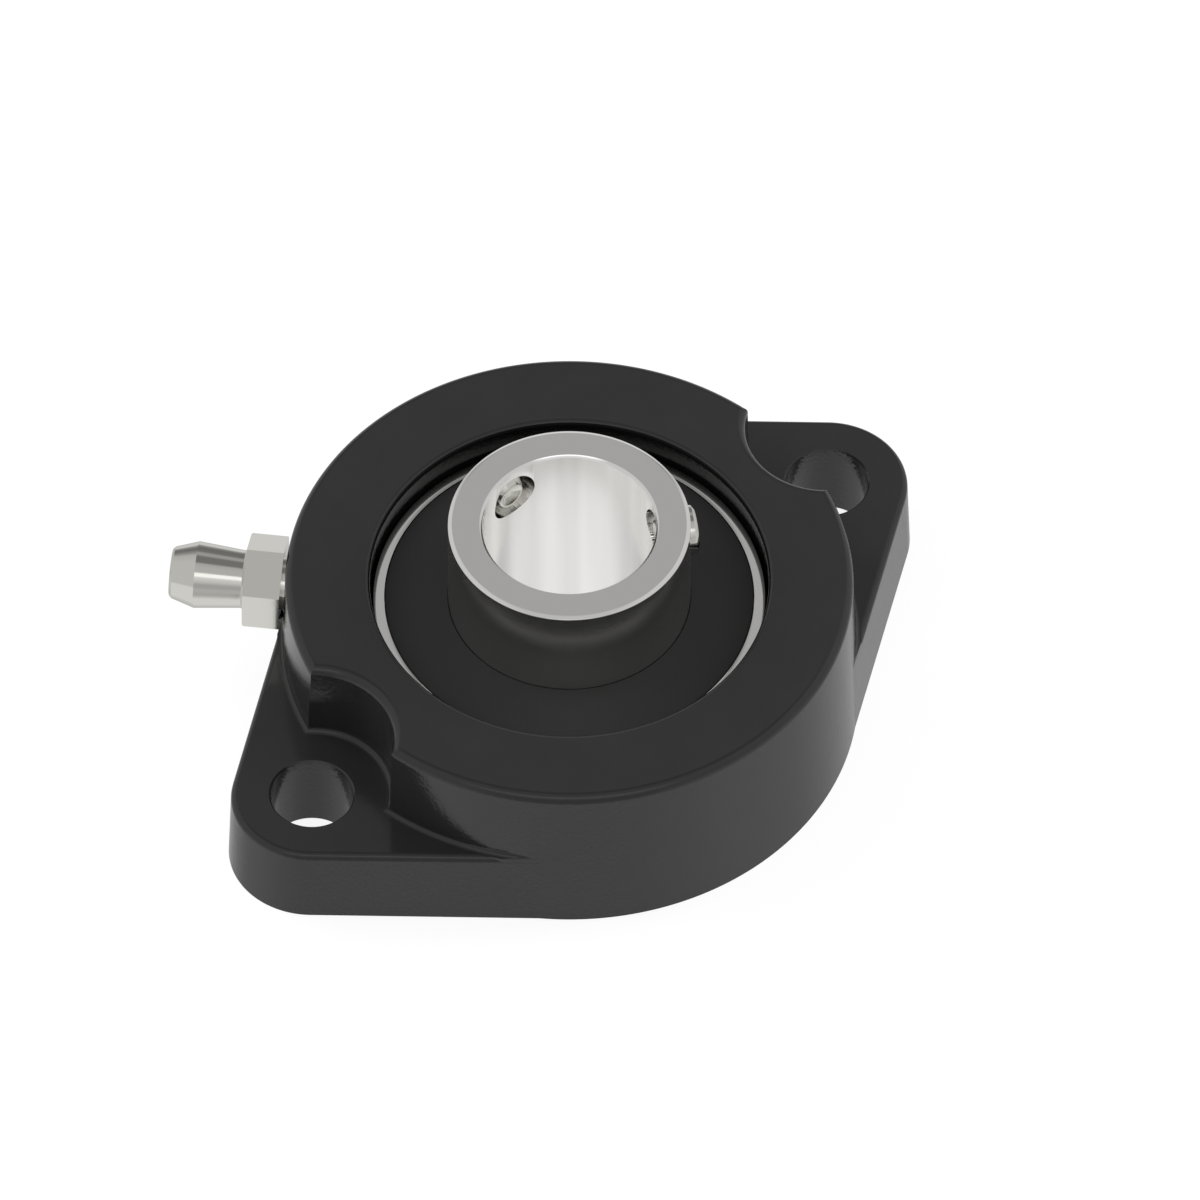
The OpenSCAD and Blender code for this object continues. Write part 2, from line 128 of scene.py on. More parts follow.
class HousingSizes(bpy.types.PropertyGroup):
    """Sizes of the cast housing."""

    bolt_spacing: length("Bolt spacing", "Distance between the bolt holes",
                         MOUNTS["mounting_bolts"]["dims"]["spacing_x_mm"] * MM)
    bolt_hole_r: length("Bolt hole radius", "Radius of each bolt hole",
                        MOUNTS["mounting_bolts"]["dims"]["hole_r_mm"] * MM)
    flange_t: length("Flange thickness", "Thickness of the flange", 8.8 * MM)
    flange_end_r: length("Flange end radius", "Radius of the flange round each bolt", 8.1 * MM)
    boss_h: length("Boss height", "Height of the boss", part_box("housing")[1].z)
    boss_foot_r: length("Boss radius", "Radius of the boss at the mounting face", 28.15 * MM)
    flange_sink: length("Flange sink", "How far the flange's core stays inside the boss", 0.1 * MM)
    bolt_head_r: length("Bolt head clearance", "Radius cleared in the boss round a bolt", 7.95 * MM)
    opening_r: length("Opening radius", "Radius of the front and rear openings", 19.44 * MM)
    seat_r: length("Seat radius", "Radius of the spherical seat", 20.03 * MM)
    flange_edge: length("Flange edge", "Rounding of the flange and of each recess's foot", 0.7 * MM)
    boss_edge: length("Boss edge", "Rounding of the top edges of the boss", 0.95 * MM)
    opening_edge: length("Opening edge", "Rounding of the openings", 0.6 * MM)
    foot: length("Foot fillet", "Fillet where the boss stands on the flange", 0.55 * MM)
    hole_edge: length("Hole chamfer", "Chamfer of the bolt holes", 0.15 * MM)
    draft: FloatProperty(name="Draft", description="Draft of the cast sides",
                         default=math.radians(1.5), subtype="ANGLE")


class InsertSizes(bpy.types.PropertyGroup):
    """Sizes of the bearing insert."""

    bore_r: length("Bore radius", "Radius of the shaft bore",
                   MOUNTS["shaft_bore"]["dims"]["r_mm"] * MM)
    bore_edge: length("Bore chamfer", "Chamfer of the bore", 0.25 * MM)
    inner_r: length("Inner ring radius", "Outside radius of the inner ring", 11.825 * MM)
    ring_edge_w: length("Ring chamfer width", "Width of the inner ring's chamfers", 0.38 * MM)
    ring_edge_h: length("Ring chamfer height", "Height of the inner ring's chamfers", 0.2 * MM)
    inner_low: length("Inner ring rear", "Height of the rear end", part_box("inner_ring")[0].z)
    inner_high: length("Inner ring front", "Height of the front end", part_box("inner_ring")[1].z)
    outer_r: length("Sphere radius", "Radius of the outer ring's spherical outside", 20 * MM)
    half_w: length("Half width", "Half the width of the outer ring", 6 * MM)
    shoulder_r: length("Shoulder radius", "Inside radius beside the outer raceway", 16.45 * MM)
    pitch_r: length("Pitch radius", "Radius of the circle of ball centres", 14.25 * MM)
    ball_r: length("Ball radius", "Radius of the balls", 3.375 * MM)
    race_r: length("Raceway radius", "Radius of the raceway grooves", 3.47625 * MM)
    seal_r: length("Seal radius", "Radius of the seal's visible face", 17.98 * MM)
    seal_seat: length("Seal seat", "Height of the seal's seat above the ball centres", 4.56 * MM)
    seal_crown: length("Seal crown", "How far the seal rises towards the inner ring", 0.35 * MM)


class ScrewSizes(bpy.types.PropertyGroup):
    """Sizes of the set screws."""

    radius: length("Screw radius", "Radius of the screws", 2.5 * MM)
    hole_gap: length("Hole gap", "Clearance of a screw in its hole", 0.05 * MM)
    span: length("Screw length", "Length of the screws", 4 * MM)
    cone: length("Cone length", "Length of the cone", 1.6 * MM)
    cup_r: length("Cup radius", "Radius of the cup's rim", 1.4 * MM)
    cup_depth: length("Cup depth", "Depth of the cup", 0.7 * MM)
    socket_af: length("Socket", "Width of the socket across flats", 2.5 * MM)
    socket_depth: length("Socket depth", "Depth of the socket", 2 * MM)


class NippleSizes(bpy.types.PropertyGroup):
    """Sizes of the grease nipple, measured from the seat of its hexagon."""

    thread_r: length("Thread radius", "Radius of the thread", 2.98 * MM)
    thread_l: length("Thread length", "Length of the thread", 4.9 * MM)
    flats: length("Hexagon", "Width across flats", 8 * MM)
    hexagon_t: length("Hexagon thickness", "Thickness of the hexagon", 3.65 * MM)
    reach: length("Reach", "Distance from the hexagon's seat to the tip", 11.05 * MM)
    head_r: length("Head radius", "Radius of the head at its widest", 3.275 * MM)
    neck_r: length("Neck radius", "Radius of the neck", 2.85 * MM)
    tip_r: length("Tip radius", "Radius of the tip", 2.555 * MM)
    inlet_r: length("Inlet radius", "Radius of the hole in the tip", 0.6 * MM)


class FinishColours(bpy.types.PropertyGroup):
    """Colours of the finishes, in sRGB."""

    paint: colour("Paint", "Satin black paint on the cast iron", "#232323")
    ground_steel: colour("Ground steel", "Rings of bearing steel", "#ECEBE9")
    rubber: colour("Rubber", "Moulded seals", "#212121")
    zinc: colour("Zinc", "Bright plated screws and nipple", "#DBDAD4")
    sheet_steel: colour("Sheet steel", "Pressed cage and seal plates", "#B4B1AA")
    wire: colour("Spring wire", "Drawn wire of the spring", "#A8A8A8")
    floor: colour("Floor", "Studio floor", "#F4F4F4")


class StudioSizes(bpy.types.PropertyGroup):
    """Camera and light."""

    azimuth: FloatProperty(name="Azimuth", description="Direction that the camera looks in",
                           default=math.radians(-37.855), subtype="ANGLE")
    elevation: FloatProperty(name="Elevation", description="Height of the camera above the horizon",
                             default=math.radians(51.092), subtype="ANGLE")
    view_width: length("View width", "Width of the picture at the object", 116.88 * MM)
    framing: FloatVectorProperty(name="Framing",
                                 description="Centre of the picture, right and up of the origin",
                                 size=2, default=(2.994 * MM, 9.22 * MM), unit="LENGTH")
    distance: length("Distance", "Distance of the camera", 600 * MM)


class UnitSettings(bpy.types.PropertyGroup):
    """Everything that a user may change."""

    housing: PointerProperty(type=HousingSizes)
    insert: PointerProperty(type=InsertSizes)
    screws: PointerProperty(type=ScrewSizes)
    nipple: PointerProperty(type=NippleSizes)
    finish: PointerProperty(type=FinishColours)
    studio: PointerProperty(type=StudioSizes)


def clear_selection():
    """Leaves object mode and selects nothing."""
    if bpy.context.object and bpy.context.object.mode != "OBJECT":
        bpy.ops.object.mode_set(mode="OBJECT")
    bpy.ops.object.select_all(action="DESELECT")


def take_up(piece):
    """Makes one piece the only selected and active one."""
    clear_selection()
    piece.select_set(True)
    bpy.context.view_layer.objects.active = piece
    return piece


def name_new(name):
    """Names the primitive that was just added and puts its place into its mesh."""
    piece = bpy.context.object
    piece.name = name
    piece.data.name = name
    bpy.ops.object.transform_apply(location=True, rotation=True, scale=True)
    return piece


def arc(x, y, radius, start, end, steps=6):
    """Points along an arc, with its angles in degrees."""
    angles = [math.radians(start + (end - start) * k / steps) for k in range(steps + 1)]
    return [(x + radius * math.cos(a), y + radius * math.sin(a)) for a in angles]


def turn(name, outline, steps=192):
    """Turns a closed outline of (radius, height) points round Z, as on a lathe."""
    clear_selection()
    bpy.ops.mesh.primitive_plane_add(size=MM, location=(outline[0][0], 0, outline[0][1]))
    piece = name_new(name)
    bpy.ops.object.mode_set(mode="EDIT")
    bpy.ops.mesh.select_all(action="SELECT")
    bpy.ops.mesh.merge(type="CENTER")
    closed = outline + outline[:1]
    for (r0, z0), (r1, z1) in zip(closed, closed[1:]):
        bpy.ops.mesh.extrude_vertices_move(TRANSFORM_OT_translate={"value": (r1 - r0, 0, z1 - z0)})
    bpy.ops.mesh.select_all(action="SELECT")
    bpy.ops.mesh.remove_doubles(threshold=HAIR)
    bpy.ops.mesh.spin(steps=steps, angle=FULL_TURN, center=(0, 0, 0), axis=(0, 0, 1))
    bpy.ops.mesh.select_all(action="SELECT")
    bpy.ops.mesh.remove_doubles(threshold=HAIR)
    bpy.ops.mesh.dissolve_degenerate(threshold=HAIR)
    bpy.ops.mesh.select_all(action="SELECT")
    bpy.ops.mesh.normals_make_consistent(inside=False)
    bpy.ops.object.mode_set(mode="OBJECT")
    return piece


def rod(name, radius, low, high, sides=96):
    """A round or sided bar along Z, with one of its corners on the X axis."""
    clear_selection()
    bpy.ops.mesh.primitive_cylinder_add(vertices=sides, radius=radius, depth=high - low,
                                        location=(0, 0, (low + high) / 2),
                                        rotation=(0, 0, math.radians(90)))
    return name_new(name)


def place(piece, matrix):
    """Moves a piece and keeps its object at the origin."""
    take_up(piece)
    piece.matrix_world = matrix
    bpy.ops.object.transform_apply(location=True, rotation=True, scale=True)
    return piece


def outwards(direction, height, distance=0.0):
    """Matrix that lays a shape drawn along +Z so that it points away from the shaft."""
    angle = math.atan2(direction[1], direction[0])
    return (Matrix.Rotation(angle, 4, "Z") @ Matrix.Translation((distance, 0, height))
            @ Matrix.Rotation(math.radians(90), 4, "Y"))


def combine(piece, tool, operation):
    """Joins a piece with a tool or cuts the tool out of it."""
    take_up(piece)
    change = piece.modifiers.new(operation.lower(), "BOOLEAN")
    change.operation = operation
    change.solver = "EXACT"
    change.object = tool
    bpy.ops.object.modifier_apply(modifier=change.name)
    bpy.data.objects.remove(tool)
    return piece


def bevel(piece, width, segments=3, angle=30):
    """Breaks the sharp edges of a piece."""
    take_up(piece)
    change = piece.modifiers.new("edge", "BEVEL")
    change.width = width
    change.segments = segments
    change.limit_method = "ANGLE"
    change.angle_limit = math.radians(angle)
    bpy.ops.object.modifier_apply(modifier=change.name)
    return piece


def smooth(piece, angle=25):
    """Smooth shading in which large flat faces stay flat."""
    take_up(piece)
    bpy.ops.object.mode_set(mode="EDIT")
    bpy.ops.mesh.select_all(action="SELECT")
    bpy.ops.mesh.remove_doubles(threshold=HAIR)
    bpy.ops.mesh.dissolve_degenerate(threshold=HAIR)
    bpy.ops.object.mode_set(mode="OBJECT")
    bpy.ops.object.shade_smooth_by_angle(angle=math.radians(angle))
    change = piece.modifiers.new("flat faces", "WEIGHTED_NORMAL")
    change.mode = "FACE_AREA"
    change.weight = 90
    change.keep_sharp = True
    bpy.ops.object.modifier_apply(modifier=change.name)
    return piece


def finish_piece(piece, material, body, slot, *nodes):
    """Gives a piece its material and its body, and hides the nodes that it stands for."""
    piece.data.materials.clear()
    piece.data.materials.append(material)
    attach(piece, body)
    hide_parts(*nodes)
    clear_selection()


def finish_node(node, material):
    """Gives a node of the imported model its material."""
    part = frame["nodes"][node]
    part.data.materials.clear()
    part.data.materials.append(material)


def linear(hex_colour):
    """Linear RGBA from an sRGB colour written as hexadecimal digits."""
    digits = hex_colour.lstrip("#")
    parts = [int(digits[k:k + 2], 16) / 255 for k in (0, 2, 4)]
    return [p / 12.92 if p <= 0.04045 else ((p + 0.055) / 1.055) ** 2.4 for p in parts] + [1.0]


def add(tree, kind, inputs=None, **settings):
    """Adds one node; inputs holds values, or sockets to link from."""
    node = tree.nodes.new(kind)
    for key, value in settings.items():
        setattr(node, key, value)
    for key, value in (inputs or {}).items():
        if isinstance(value, bpy.types.NodeSocket):
            tree.links.new(value, node.inputs[key])
        else:
            node.inputs[key].default_value = value
    return node


def new_material(name):
    """An empty node material, with its tree and the object's own coordinates."""
    material = bpy.data.materials.new(name)
    material.use_nodes = True
    tree = material.node_tree
    tree.nodes.clear()
    coordinates = add(tree, "ShaderNodeTexCoord").outputs["Object"]
    return material, tree, coordinates


def surface(tree, inputs):
    """The Principled shader of a material."""
    shader = add(tree, "ShaderNodeBsdfPrincipled", inputs)
    add(tree, "ShaderNodeOutputMaterial", {"Surface": shader.outputs["BSDF"]})


def maths(tree, operation, *values):
    """Result of one sum; values are numbers, or sockets to link from."""
    node = add(tree, "ShaderNodeMath", dict(enumerate(values)), operation=operation)
    return node.outputs["Value"]


def between(tree, value, low, high, start=0.0, end=1.0):
    """Goes from low to high while the value goes from start to end, and no further."""
    node = add(tree, "ShaderNodeMapRange", {
        "Value": value, "From Min": start, "From Max": end, "To Min": low, "To Max": high})
    return node.outputs["Result"]


def blend(tree, share, first, second):
    """The first value at share 0, the second one at share 1."""
    node = add(tree, "ShaderNodeMix", {0: share, 2: first, 3: second}, data_type="FLOAT")
    return node.outputs[0]


def dot(tree, vector, direction):
    """How far a vector goes in a direction."""
    node = add(tree, "ShaderNodeVectorMath", {0: vector, 1: direction}, operation="DOT_PRODUCT")
    return node.outputs["Value"]


def tinted(tree, base, share):
    """A colour times a share."""
    node = add(tree, "ShaderNodeVectorMath", {0: base[:3], "Scale": share}, operation="SCALE")
    return node.outputs["Vector"]


def noise(tree, where, size, detail, dimensions="3D"):
    """Noise whose cells are that many millimetres wide."""
    place_in = "W" if dimensions == "1D" else "Vector"
    node = add(tree, "ShaderNodeTexNoise",
               {place_in: where, "Scale": 1 / (size * MM), "Detail": detail},
               noise_dimensions=dimensions)
    return node.outputs["Fac"]


def bump(tree, height, distance, strength, **normal):
    """Normals of a shallow relief; Normal gives those that it lies on."""
    node = add(tree, "ShaderNodeBump",
               {"Height": height, "Distance": distance, "Strength": strength, **normal})
    return node.outputs["Normal"]


def from_axis(tree, where):
    """Distance of each point from the shaft's axis."""
    split = add(tree, "ShaderNodeSeparateXYZ", {"Vector": where}).outputs
    flat = add(tree, "ShaderNodeCombineXYZ", {"X": split["X"], "Y": split["Y"]})
    node = add(tree, "ShaderNodeVectorMath", {0: flat.outputs["Vector"]}, operation="LENGTH")
    return node.outputs["Value"]


def flatness(tree):
    """1 on faces square to the shaft, 0 on walls along it."""
    normal = add(tree, "ShaderNodeNewGeometry").outputs["Normal"]
    upward = add(tree, "ShaderNodeSeparateXYZ", {"Vector": normal}).outputs["Z"]
    return maths(tree, "ABSOLUTE", upward)


def painted_cast_iron(base, opening_r):
    """Sand-cast grey iron under satin black paint: the grain of the sand shows as a fine orange
    peel in the reflections of its sides, over slow waves of the casting. The faces square to
    the shaft are smoother, and the turned opening has painted shade: darker, with weaker reflections."""
    material, tree, where = new_material("painted_cast_iron")
    # Painted shade: inside the opening the colour drops to 0.3 and the reflections weaken, standing in for the
    # shade in the opening
    inside = maths(tree, "LESS_THAN", from_axis(tree, where), opening_r + 0.2 * MM)
    painted_shade = blend(tree, inside, 1.0, 0.3)
    grain = noise(tree, where, 0.42, 3.0)
    waves = noise(tree, where, 4, 2.0)
    tone_and_painted_shade = maths(tree, "MULTIPLY", painted_shade, between(tree, waves, 0.88, 1.12))
    peel = between(tree, flatness(tree), 1.0, 0.3, start=0.5, end=0.95)
    surface(tree, {
        "Base Color": tinted(tree, base, tone_and_painted_shade),
        "Roughness": between(tree, grain, 0.12, 0.2),
        "IOR": 1.45,
        "Specular IOR Level": maths(tree, "MULTIPLY", painted_shade, 0.5),
        "Normal": bump(tree, grain, 0.026 * MM, peel, Normal=bump(tree, waves, 0.02 * MM, 0.6)),
    })
    return material


def ground_steel(base, bore_r):
    """Hardened bearing steel, ground round its axis: very fine rings on its faces, and hoops on
    its cylinders, which are duller. The honed bore's colour has painted reflections: lighter streaks along its
    length."""
    material, tree, where = new_material("ground_steel")
    radius = from_axis(tree, where)
    inside = maths(tree, "LESS_THAN", radius, bore_r + 0.05 * MM)
    height = add(tree, "ShaderNodeSeparateXYZ", {"Vector": where}).outputs["Z"]
    hoops = add(tree, "ShaderNodeCombineXYZ", {"X": radius, "Y": height}).outputs["Vector"]
    lines = noise(tree, hoops, 0.12, 2.0, "2D")
    polish = between(tree, flatness(tree), 0.19, 0.09, start=0.2, end=0.6)
    rough = blend(tree, inside, polish, 0.19)
    # Painted reflections: lighter streaks along the bore's colour stand in for reflections of uneven surroundings
    drawn_out = add(tree, "ShaderNodeVectorMath", {0: where, 1: (1.0, 1.0, 0.04)},
                    operation="MULTIPLY").outputs["Vector"]
    painted_reflection_streaks = between(tree, noise(tree, drawn_out, 3.5, 2.0), 0.96, 1.18, start=0.35, end=0.65)
    surface(tree, {
        "Base Color": tinted(tree, base, blend(tree, inside, 1.0, painted_reflection_streaks)),
        "Metallic": 1.0,
        "Roughness": maths(tree, "MULTIPLY_ADD", lines, 0.04, rough),
        "Normal": bump(tree, lines, 0.0006 * MM, 0.5),
    })
    return material


def moulded_rubber(base):
    """Nitrile rubber, moulded in a spark-eroded tool: dull black with a faint grain."""
    material, tree, where = new_material("moulded_rubber")
    grain = noise(tree, where, 0.25, 4.0)
    surface(tree, {
        "Base Color": base,
        "Roughness": between(tree, grain, 0.45, 0.58),
        "IOR": 1.46,
        "Normal": bump(tree, grain, 0.004 * MM, 0.6),
    })
    return material


def zinc_plated_steel(base, direction):
    """Turned steel with bright zinc: faint tool marks round its axis under a glossy skin."""
    material, tree, where = new_material("zinc_plated_steel")
    angle = math.atan2(direction[1], direction[0])
    turned = add(tree, "ShaderNodeMapping", {"Vector": where, "Rotation": (0, 0, -angle)})
    reach = add(tree, "ShaderNodeSeparateXYZ", {"Vector": turned.outputs["Vector"]}).outputs["X"]
    surface(tree, {
        "Base Color": base,
        "Metallic": 1.0,
        "Roughness": between(tree, noise(tree, where, 1.5, 2.0), 0.08, 0.15),
        "Normal": bump(tree, noise(tree, reach, 0.15, 2.0, "1D"), 0.001 * MM, 0.5),
    })
    return material


def plain_steel(name, base, roughness, grain):
    """Steel as it leaves the press, the lapping plate or the drawing die; its grain is the size
    of its spots in millimetres."""
    material, tree, where = new_material(name)
    gloss = between(tree, noise(tree, where, grain, 3.0), roughness * 0.8, roughness * 1.2)
    surface(tree, {"Base Color": base, "Metallic": 1.0, "Roughness": gloss})
    return material


def drum_outline(foot_r, height, core_r, edge, draft):
    """Section of a drafted drum with a rounded top edge and an open core."""
    top_r = foot_r - height * math.tan(draft)
    x = top_r - edge * (1 - math.sin(draft)) / math.cos(draft)
    return ([(core_r, 0), (foot_r, 0)]
            + arc(x, height - edge, edge, math.degrees(draft), 90)
            + [(core_r, height)])


class BEARING_OT_housing(bpy.types.Operator):
    """Models the cast housing: flange, boss, bolt-head recesses, seat and holes"""

    bl_idname = "bearing_unit.make_housing"
    bl_label = "Housing"

    def flange(self, sizes, core_foot, height):
        """The flange: the hull of two drafted ends and a core."""
        core = turn("cast_housing",
                    drum_outline(core_foot, height, 1 * MM, sizes.flange_edge, sizes.draft))
        ends = []
        for side in (-1, 1):
            end = turn("flange_end", drum_outline(
                sizes.flange_end_r, height, 1 * MM, sizes.flange_edge, sizes.draft), steps=128)
            ends.append(place(end, Matrix.Translation((side * sizes.bolt_spacing / 2, 0, 0))))
        take_up(core)
        for end in ends:
            end.select_set(True)
        bpy.ops.object.join()
        bpy.ops.object.mode_set(mode="EDIT")
        bpy.ops.mesh.select_all(action="SELECT")
        bpy.ops.mesh.convex_hull()
        bpy.ops.mesh.select_all(action="SELECT")
        bpy.ops.mesh.dissolve_limited(angle_limit=math.radians(0.2))
        bpy.ops.object.mode_set(mode="OBJECT")
        return core

    def foot_fillet(self, sizes, core_foot):
        """The concave fillet round the foot of the boss, which runs out over the flange's edge."""
        centre_z = sizes.flange_t + sizes.foot
        wall_r = sizes.boss_foot_r - centre_z * math.tan(sizes.draft)
        centre_r = wall_r + sizes.foot / math.cos(sizes.draft)
        low = sizes.flange_t - SINK
        inside = sizes.boss_foot_r - FOOT_DEPTH
        ring = turn("foot_fillet", [(inside, low), (centre_r, low)]
                    + arc(centre_r, centre_z, sizes.foot, 270, 180 + math.degrees(sizes.draft))
                    + [(inside, centre_z)])
        return combine(ring, self.flange(sizes, core_foot, centre_z), "INTERSECT")

    def boss(self, sizes, core_foot):
        """The boss with its foot, cleared round each bolt head."""
        boss = turn("boss", drum_outline(sizes.boss_foot_r, sizes.boss_h, BOSS_HOLLOW_R,
                                         sizes.boss_edge, sizes.draft), steps=256)
        combine(boss, self.foot_fillet(sizes, core_foot), "UNION")
        low_r = sizes.bolt_head_r - sizes.flange_edge
        high_r = sizes.bolt_head_r + sizes.boss_edge
        low = sizes.flange_t - SINK
        high = sizes.boss_h + PAST
        foot_z = sizes.flange_t + sizes.flange_edge
        edge_z = sizes.boss_h - sizes.boss_edge
        for side in (-1, 1):
            cutter = turn("bolt_head_room", [(0, low), (low_r, low)]
                          + arc(low_r, foot_z, sizes.flange_edge, -90, 0)
                          + arc(high_r, edge_z, sizes.boss_edge, 180, 90)
                          + [(high_r, high), (0, high)], steps=128)
            place(cutter, Matrix.Translation((side * sizes.bolt_spacing / 2, 0, 0)))
            combine(boss, cutter, "DIFFERENCE")
        return boss

    def openings(self, sizes):
        """The front and rear openings with their rounded edges."""
        edge = sizes.opening_edge
        wide = sizes.opening_r + edge
        high = sizes.boss_h + PAST
        return turn("openings", [(0, -PAST), (wide, -PAST)]
                    + arc(wide, edge, edge, 270, 180)
                    + arc(wide, sizes.boss_h - edge, edge, 180, 90)
                    + [(wide, high), (0, high)], steps=256)

    def seat(self, sizes):
        """The spherical seat, as a ball that is cut out."""
        clear_selection()
        bpy.ops.mesh.primitive_uv_sphere_add(segments=192, ring_count=96, radius=sizes.seat_r,
                                             location=(0, 0, SEAT_HEIGHT))
        return name_new("seat")

    def loading_slots(self, sizes, half_width):
        """The two rear slots, where the insert goes in edge first."""
        slots = rod("loading_slots", sizes.seat_r + SLOT_GAP, -PAST, SEAT_HEIGHT, sides=192)
        take_up(slots)
        bpy.ops.object.mode_set(mode="EDIT")
        for side in (-1, 1):
            bpy.ops.mesh.select_all(action="SELECT")
            bpy.ops.mesh.bisect(plane_co=(side * half_width, 0, 0), plane_no=(side, 0, 0),
                                use_fill=True, clear_outer=True)
        bpy.ops.object.mode_set(mode="OBJECT")
        return slots

    def execute(self, context):
        settings = context.scene.bearing_unit
        sizes = settings.housing
        core_foot = sizes.boss_foot_r - sizes.flange_sink
        piece = self.flange(sizes, core_foot, sizes.flange_t)
        combine(piece, self.boss(sizes, core_foot), "UNION")
        combine(piece, self.openings(sizes), "DIFFERENCE")
        combine(piece, self.seat(sizes), "DIFFERENCE")
        half_width = settings.insert.half_w + SLOT_GAP
        combine(piece, self.loading_slots(sizes, half_width), "DIFFERENCE")
        hole_r = sizes.bolt_hole_r
        for side in (-1, 1):
            hole = turn("bolt_hole", [
                (0, -PAST), (hole_r, -PAST), (hole_r, sizes.flange_t - sizes.hole_edge),
                (hole_r + sizes.hole_edge + PAST, sizes.flange_t + PAST),
                (0, sizes.flange_t + PAST)], steps=96)
            place(hole, Matrix.Translation((side * sizes.bolt_spacing / 2, 0, 0)))
            combine(piece, hole, "DIFFERENCE")
        nipple = MOUNTS["grease_nipple"]
        hole = rod("nipple_hole", NIPPLE_HOLE_R, NIPPLE_HOLE_START, sizes.boss_foot_r + PAST)
        place(hole, outwards(nipple["axis"], nipple["pos_m"][2]))
        combine(piece, hole, "DIFFERENCE")
        smooth(piece)
        paint = painted_cast_iron(linear(settings.finish.paint), sizes.opening_r)
        finish_piece(piece, paint, "housing", "housing_iron", "housing")
        return {"FINISHED"}


class BEARING_OT_inner_ring(bpy.types.Operator):
    """Models the inner ring with its bore, raceway and two threaded holes"""

    bl_idname = "bearing_unit.make_inner_ring"
    bl_label = "Inner ring"

    def execute(self, context):
        settings = context.scene.bearing_unit
        sizes = settings.insert
        width, height, inside = sizes.ring_edge_w, sizes.ring_edge_h, sizes.bore_edge
        groove_r = sizes.pitch_r + sizes.race_r - sizes.ball_r - BALL_GAP
        half = math.degrees(math.acos((groove_r - sizes.inner_r) / sizes.race_r))
        piece = turn("inner_ring_turned", [
            (sizes.bore_r + inside, sizes.inner_low),
            (sizes.inner_r - width, sizes.inner_low),
            (sizes.inner_r, sizes.inner_low + height)]
            + arc(groove_r, SEAT_HEIGHT, sizes.race_r, 180 + half, 180 - half, 16)
            + [(sizes.inner_r, sizes.inner_high - height),
               (sizes.inner_r - width, sizes.inner_high),
               (sizes.bore_r + inside, sizes.inner_high),
               (sizes.bore_r, sizes.inner_high - inside),
               (sizes.bore_r, sizes.inner_low + inside)], steps=256)
        screw = settings.screws
        for node, joint in SCREW_JOINTS.items():
            low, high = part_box(node)
            hole = rod("screw_hole", screw.radius + screw.hole_gap,
                       sizes.bore_r - 3 * PAST, sizes.inner_r + 3 * PAST)
            place(hole, outwards(-Vector(JOINTS[joint]["axis"]), (low.z + high.z) / 2))
            combine(piece, hole, "DIFFERENCE")
        bevel(piece, width=0.08 * MM, segments=2, angle=20)
        smooth(piece)
        steel = ground_steel(linear(settings.finish.ground_steel), sizes.bore_r)
        finish_piece(piece, steel, "inner_ring", "ground_steel", "inner_ring")
        return {"FINISHED"}


class BEARING_OT_outer_ring(bpy.types.Operator):
    """Models the outer ring with its spherical outside, raceway, seal recesses and oil groove"""

    bl_idname = "bearing_unit.make_outer_ring"
    bl_label = "Outer ring"

    def execute(self, context):
        settings = context.scene.bearing_unit
        sizes = settings.insert
        groove_r = sizes.pitch_r - sizes.race_r + sizes.ball_r + BALL_GAP
        groove_half_w = math.sqrt(sizes.race_r ** 2 - (sizes.shoulder_r - groove_r) ** 2)
        half = math.degrees(math.asin(groove_half_w / sizes.race_r))
        rim = math.degrees(math.asin(sizes.half_w / sizes.outer_r))
        wall_r = sizes.seal_r + SEAL_WALL_GAP
        low_angle = math.degrees(math.asin(OIL_LOW / sizes.outer_r))
        high_angle = math.degrees(math.asin(OIL_HIGH / sizes.outer_r))
        oil_floor = math.sqrt(sizes.outer_r ** 2 - ((OIL_LOW + OIL_HIGH) / 2) ** 2) - OIL_DEPTH
        outline = ([(wall_r, -sizes.half_w)]
                   + arc(0, 0, sizes.outer_r, -rim, low_angle, 20)
                   + [(oil_floor, OIL_LOW), (oil_floor, OIL_HIGH)]
                   + arc(0, 0, sizes.outer_r, high_angle, rim, 4)
                   + [(wall_r, sizes.half_w), (wall_r, sizes.seal_seat),
                      (sizes.shoulder_r, sizes.seal_seat)]
                   + arc(groove_r, 0, sizes.race_r, half, -half, 16)
                   + [(sizes.shoulder_r, -sizes.seal_seat), (wall_r, -sizes.seal_seat)])
        piece = turn("outer_ring_turned", [(r, z + SEAT_HEIGHT) for r, z in outline], steps=256)
        bevel(piece, width=0.02 * MM, segments=2, angle=40)
        smooth(piece)
        steel = ground_steel(linear(settings.finish.ground_steel), sizes.bore_r)
        finish_piece(piece, steel, "outer_ring", "ground_steel", "outer_ring")
        return {"FINISHED"}


